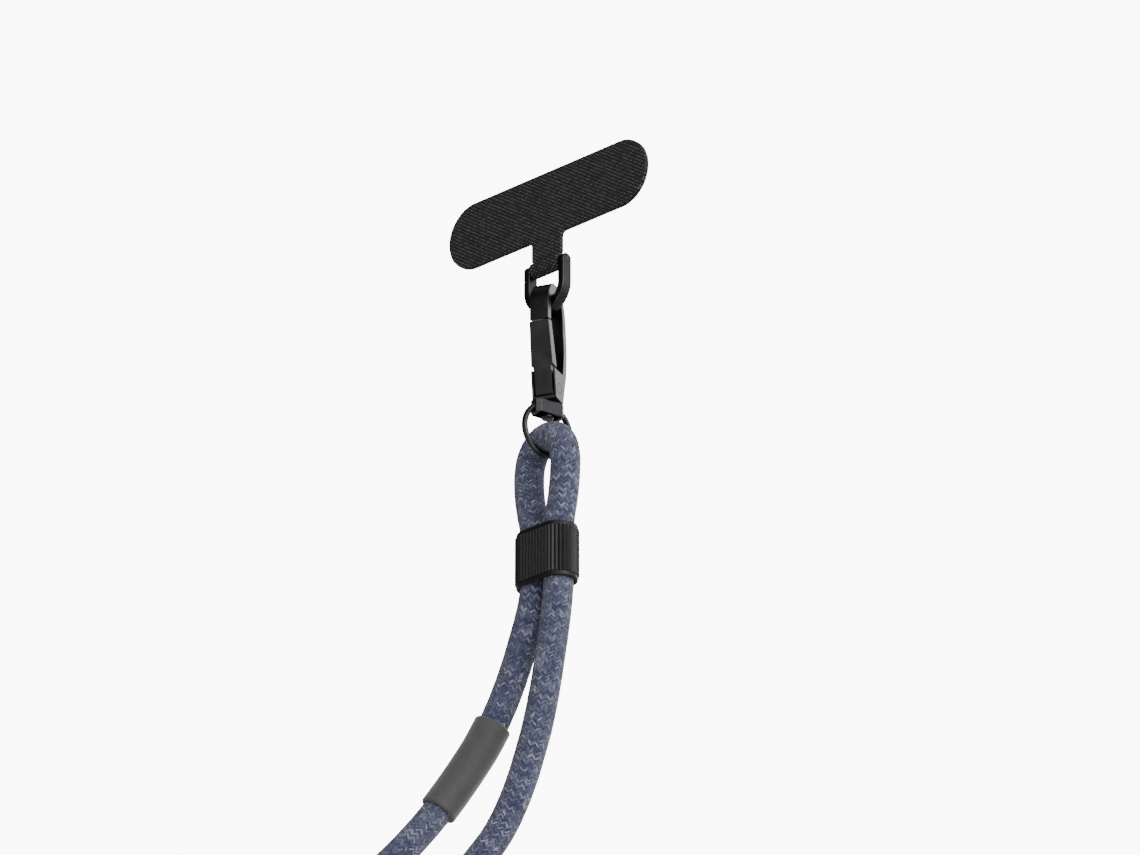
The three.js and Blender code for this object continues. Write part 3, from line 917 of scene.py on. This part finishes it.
def make_gate():
    top = HOOK_TOP - SEAM_DROP - SEAM_GAP
    shoulder = HOOK_BOTTOM + GATE_SHOULDER
    pin = HOOK_BOTTOM + PIN_RISE
    stem_bottom = pin - GATE_EYE
    side = [(-NOSE_DEPTH, top), (-BLADE_FRONT, shoulder), (-BASE_FRONT, stem_bottom + STEM_CORNER),
            (-BASE_FRONT + STEM_CORNER, stem_bottom), *arc((PIN_DEPTH, pin), GATE_EYE, -90, 54, 14),
            (-BLADE_BACK, shoulder), (-NOSE_DEPTH + GATE_WALL, top + SEAM_RISE)]
    piece = draw_solid("spring_gate", *outline_across_x(side, 2 * GATE_WIDE))
    right = [(STEM_WIDTH / 2, stem_bottom - MM), (STEM_WIDTH / 2, shoulder - STEM_STEP),
             (GATE_WIDE / 2, shoulder), (GATE_TOP_WIDTH / 2, top), (GATE_TOP_WIDTH / 2, top + MM)]
    front = right + [(-x, z) for x, z in right[::-1]]
    combine(piece, draw_solid("gate_front", *outline_across_y(front, TOOL_DEPTH)), "INTERSECT")
    bevel_edges(piece, HOOK_BEVEL, angle=50, clamp=False)
    hole = cylinder("gate_hole", GATE_PIN_HOLE, PIN_TOOL_DEPTH, (0, PIN_DEPTH, pin), "X")
    combine(piece, hole, "DIFFERENCE")
    return turn_about_z(shade(piece), HOOK_TURN)


gate = make_gate()
dress(gate, metal)
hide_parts("hook_gate")
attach(gate, "gate")
print("gate:", [round(side / MM, 1) for side in gate.dimensions], "mm")


# %% [markdown]
# ## The swivel eye
# The eye is one casting: a small block, hollow underneath for the rivet's head, and a round ring
# for the rope. The ring starts as a torus, whose round section keeps the bright line along it.

# %% Model the swivel eye
EYE_TURN = math.radians(-10)
BLOCK_SIZE = (3.9 * MM, 8.0 * MM, 3.35 * MM)
BLOCK_CHAMFER = 1.0 * MM
BLOCK_WALL = 0.3 * MM
BLOCK_ROOF = 1.45 * MM
BLOCK_BEVEL = 0.18 * MM
EYE_RADIUS = 7.05 * MM
EYE_DROP = 6.8 * MM
EYE_WIRE = (1.35 * MM, 1.6 * MM)


def make_eye():
    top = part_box("swivel_eye")[1][2]
    x, y, c = BLOCK_SIZE[0] / 2, BLOCK_SIZE[1] / 2, BLOCK_CHAMFER
    plan = [(-x + c, -y), (x - c, -y), (x, -y + c), (x, y - c), (x - c, y), (-x + c, y), (-x, y - c),
            (-x, -y + c)]
    piece = draw_solid("swivel_ring", *outline_across_z(plan, top - BLOCK_SIZE[2], top))
    bevel_edges(piece, BLOCK_BEVEL, segments=3, angle=30)
    bpy.ops.object.select_all(action="DESELECT")
    bpy.ops.mesh.primitive_torus_add(
        major_segments=96, minor_segments=16, major_radius=EYE_RADIUS - EYE_WIRE[0] / 2,
        minor_radius=EYE_WIRE[0] / 2, location=(0, 0, top - EYE_DROP), rotation=(0, math.pi / 2, 0))
    wire = bpy.context.object
    bpy.ops.object.transform_apply(location=True, rotation=True, scale=True)
    wire.scale = (EYE_WIRE[1] / EYE_WIRE[0], 1, 1)
    bpy.ops.object.transform_apply(location=True, rotation=True, scale=True)
    above = [(-EYE_RADIUS, -EYE_RADIUS), (EYE_RADIUS, -EYE_RADIUS), (EYE_RADIUS, EYE_RADIUS),
             (-EYE_RADIUS, EYE_RADIUS)]
    combine(wire, draw_solid("above", *outline_across_z(above, top, top + EYE_RADIUS)), "DIFFERENCE")
    combine(piece, wire, "UNION")
    hollow_x, hollow_y = x - BLOCK_WALL, y - c
    hollow_plan = [(-hollow_x, -hollow_y), (hollow_x, -hollow_y), (hollow_x, hollow_y),
                   (-hollow_x, hollow_y)]
    hollow = draw_solid("hollow", *outline_across_z(hollow_plan, top - 5 * MM, top - BLOCK_ROOF))
    combine(piece, hollow, "DIFFERENCE")
    combine(piece, cylinder("rivet_bore", RIVET_HOLE, 8 * MM, (0, 0, top)), "DIFFERENCE")
    return turn_about_z(shade(piece), EYE_TURN)


eye = make_eye()
dress(eye, metal)
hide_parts("swivel_eye")
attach(eye, "loop")
print("swivel eye:", [round(side / MM, 1) for side in eye.dimensions], "mm")


# %% [markdown]
# ## The fabric tab
# The band lies behind a phone and its tongue wraps round the cross pin and is bonded to itself. The
# flat part is drawn as an outline, the fold is a cylinder joined to it, and wide bevels give the
# cut fabric its soft edges. The weave follows the fold through a map made from arc lengths.

# %% Draw the tab and lay its map
FABRIC = 1.2 * MM
FOLD_FABRIC = 1.0 * MM  # pulled tight round the pin
FOLD_RADIUS = CROSS_PIN_HOLE + FOLD_FABRIC
FOLD_STARTS = 0.62  # of the fabric's thickness from its middle
FOLD_WIDTH = 8.6 * MM
TONGUE_WIDTH = 9.3 * MM
TONGUE_FILLET = 1.2 * MM
NECK_RISE = 2.0 * MM
BAND_SIZE = (64.0 * MM, 16.7 * MM)
TAB_BEVEL = 0.2 * MM


def make_tab():
    pin = cross_pin_middle.z
    end = BAND_SIZE[1] / 2
    straight = BAND_SIZE[0] / 2 - end
    half, half_fold = TONGUE_WIDTH / 2, FOLD_WIDTH / 2
    neck = pin + NECK_RISE
    corner = half + TONGUE_FILLET
    outline = [*arc((straight, 0), end, 90, -90, 32),
               *arc((corner, -end - TONGUE_FILLET), TONGUE_FILLET, 90, 180, 6),
               (half, neck + half - half_fold), (half_fold, neck), (half_fold, pin),
               (-half_fold, pin), (-half_fold, neck), (-half, neck + half - half_fold),
               *arc((-corner, -end - TONGUE_FILLET), TONGUE_FILLET, 0, 90, 6),
               *arc((-straight, 0), end, -90, -270, 32)]
    piece = draw_solid("phone_case_tab", *outline_across_y(outline, FABRIC))
    bevel_edges(piece, TAB_BEVEL, segments=3, angle=50)
    fold = cylinder("fold", FOLD_RADIUS, FOLD_WIDTH, (0, 0, pin), "X")
    combine(piece, bevel_edges(fold, TAB_BEVEL, segments=3, angle=50), "UNION")
    combine(piece, cylinder("bore", CROSS_PIN_HOLE, 2 * FOLD_WIDTH, (0, 0, pin), "X"), "DIFFERENCE")
    return shade(piece)


def map_tab(piece):
    pin = cross_pin_middle.z
    uv_map = piece.data.uv_layers.get("UVMap") or piece.data.uv_layers.new(name="UVMap")
    for loop in piece.data.loops:
        place = piece.data.vertices[loop.vertex_index].co
        along = place.z
        if abs(place.y) > FOLD_STARTS * FABRIC or place.z < pin:
            turn = math.atan2(abs(place.y), place.z - pin)
            along = pin + FOLD_RADIUS * (1 - turn)
        uv_map.data[loop.index].uv = (place.x, along)


tab = make_tab()
map_tab(tab)
dress(tab, weave)
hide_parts("phone_tab")
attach(tab, "tab")
print("tab:", [round(side / MM, 1) for side in tab.dimensions], "mm")


# %% [markdown]
# ## Pins and rivet
# The cross pin, the gate pin and the rivet are right as solids, so they stay and only take the
# metal finish.

# %% Dress the pins
for name in ("cross_pin", "gate_pin", "swivel_rivet"):
    dress(bpy.data.objects[name], metal)
print("dressed the pins")


# %% [markdown]
# ## Light and surroundings
# The strap hangs in a white studio with a pale floor far below. The world is light grey and gets
# dark towards the front left and above, which the metal shows as its dark faces. Five soft panels
# add the bright ones: behind, on the right, far on the right, a weak one at the near corner, and
# one below for the faces that look down. The camera itself sees plain white behind the strap.

# %% World, floor and lights
DARK_SIDE = (-0.5, -0.55, 0.67)
WORLD_SHADES = ((0.45, 0.75), (0.92, 0.06))  # how far it points to the dark side, and its grey there
BACKDROP_STRENGTH = 10.0
STUDIO_FLOOR_SIZE = 24
STUDIO_FLOOR_Z = -4
PANELS = (  # name, direction from the strap, distance, size, power
    ("panel_behind", (-0.15, 0.90, 0.41), 1.2, 1.1, 7),
    ("panel_right", (0.95, -0.20, 0.24), 1.4, 0.8, 11),
    ("panel_far_right", (0.75, 0.53, 0.41), 1.4, 1.0, 2.0),
    ("panel_corner", (0.42, -0.80, 0.42), 1.4, 0.35, 1.3),
    ("panel_below", (0.5, -0.5, -0.7), 1.5, 0.7, 4),
)


def make_world():
    world = bpy.data.worlds.new("studio")
    world.use_nodes = True
    tree = world.node_tree
    background = tree.nodes["Background"]
    direction = tree.nodes.new("ShaderNodeTexCoord")
    dark_side = tree.nodes.new("ShaderNodeVectorMath")
    dark_side.operation = "DOT_PRODUCT"
    dark_side.inputs[1].default_value = Vector(DARK_SIDE).normalized()
    shade = tree.nodes.new("ShaderNodeValToRGB")
    for stop, (place, grey) in zip(shade.color_ramp.elements, WORLD_SHADES):
        stop.position = place
        stop.color = (grey, grey, grey, 1)
    tree.links.new(direction.outputs["Generated"], dark_side.inputs[0])
    tree.links.new(dark_side.outputs["Value"], shade.inputs["Fac"])
    tree.links.new(shade.outputs["Color"], background.inputs["Color"])
    bright = tree.nodes.new("ShaderNodeBackground")
    bright.inputs["Color"].default_value = (1, 1, 1, 1)
    bright.inputs["Strength"].default_value = BACKDROP_STRENGTH
    path = tree.nodes.new("ShaderNodeLightPath")
    mix = tree.nodes.new("ShaderNodeMixShader")
    output = tree.nodes["World Output"]
    tree.links.new(path.outputs["Is Camera Ray"], mix.inputs[0])
    tree.links.new(background.outputs[0], mix.inputs[1])
    tree.links.new(bright.outputs[0], mix.inputs[2])
    tree.links.new(mix.outputs[0], output.inputs["Surface"])
    bpy.context.scene.world = world


def add_panel(name, direction, distance, size, power):
    place = view_target + Vector(direction).normalized() * distance
    bpy.ops.object.light_add(type="AREA", location=place)
    panel = bpy.context.object
    panel.name = name
    panel.data.shape = "SQUARE"
    panel.data.size = size
    panel.data.energy = power
    panel.rotation_euler = (place - view_target).to_track_quat("Z", "Y").to_euler()


def add_floor():
    bpy.ops.object.select_all(action="DESELECT")
    bpy.ops.mesh.primitive_plane_add(size=STUDIO_FLOOR_SIZE, location=(0, 0, STUDIO_FLOOR_Z))
    floor = bpy.context.object
    floor.name = "studio_floor"
    finish = Finish("floor_paint")
    finish.set(Base_Color=(0.9, 0.9, 0.9, 1), Roughness=0.9)
    dress(floor, finish)


make_world()
for panel_settings in PANELS:
    add_panel(*panel_settings)
add_floor()
print("studio ready")
